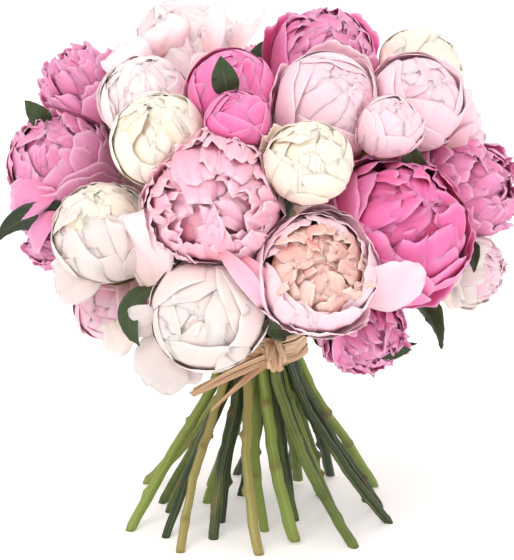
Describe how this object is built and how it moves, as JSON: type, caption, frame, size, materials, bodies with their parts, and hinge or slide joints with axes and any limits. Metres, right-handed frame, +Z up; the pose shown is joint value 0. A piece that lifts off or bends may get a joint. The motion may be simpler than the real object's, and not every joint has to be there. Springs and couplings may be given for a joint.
{
  "type": "bunch of peonies",
  "caption": "Hand-tied bunch of peonies: a dome of white, blush and pink blooms on spiralled cut stems, tied with raffia, standing upright.",
  "frame": {"origin": "on the table, under the middle of the bunch's bounding box", "axes": "+Z up along the bunch, front towards -Y, +X to the right as seen from the front"},
  "size_m": [0.341, 0.3158, 0.3435],
  "materials": {
    "petal_white": "matt, cream white petal",
    "petal_blush": "matt, pale blush petal",
    "petal_pink": "matt, mid pink petal",
    "petal_rose": "matt, deep rose pink petal",
    "stem": "satin, fresh green flower stem",
    "leaf": "waxy, dark green leaf",
    "raffia": "dry, straw brown raffia"
  },
  "bodies": {
    "root": {"bloom_01": "petal_pink", "bloom_02": "petal_rose", "bloom_03": "petal_blush", "bloom_04": "petal_white", "bloom_05": "petal_white", "bloom_06": "petal_white", "bloom_07": "petal_white", "bloom_08": "petal_rose", "bloom_09": "petal_rose", "bloom_10": "petal_blush", "bloom_11": "petal_blush", "bloom_12": "petal_blush", "bloom_13": "petal_pink", "bloom_14": "petal_pink", "bloom_15": "petal_blush", "bloom_16": "petal_pink", "bloom_17": "petal_blush", "bloom_18": "petal_rose", "bloom_19": "petal_white", "bloom_20": "petal_blush", "bloom_21": "petal_pink", "bloom_22": "petal_white", "bloom_23": "petal_pink", "bloom_24": "petal_blush", "bloom_25": "petal_pink", "bloom_26": "petal_rose", "bloom_27": "petal_blush", "bloom_28": "petal_white", "stem_01": "stem", "stem_02": "stem", "stem_03": "stem", "stem_04": "stem", "stem_05": "stem", "stem_06": "stem", "stem_07": "stem", "stem_08": "stem", "stem_09": "stem", "stem_10": "stem", "stem_11": "stem", "stem_12": "stem", "stem_13": "stem", "stem_14": "stem", "stem_15": "stem", "stem_16": "stem", "stem_17": "stem", "stem_18": "stem", "stem_19": "stem", "stem_20": "stem", "stem_21": "stem", "stem_22": "stem", "stem_23": "stem", "stem_24": "stem", "stem_25": "stem", "stem_26": "stem", "stem_27": "stem", "stem_28": "stem", "raffia_tie": "raffia", "leaf_01": "leaf", "leaf_02": "leaf", "leaf_03": "leaf"}
  },
  "joints": []
}
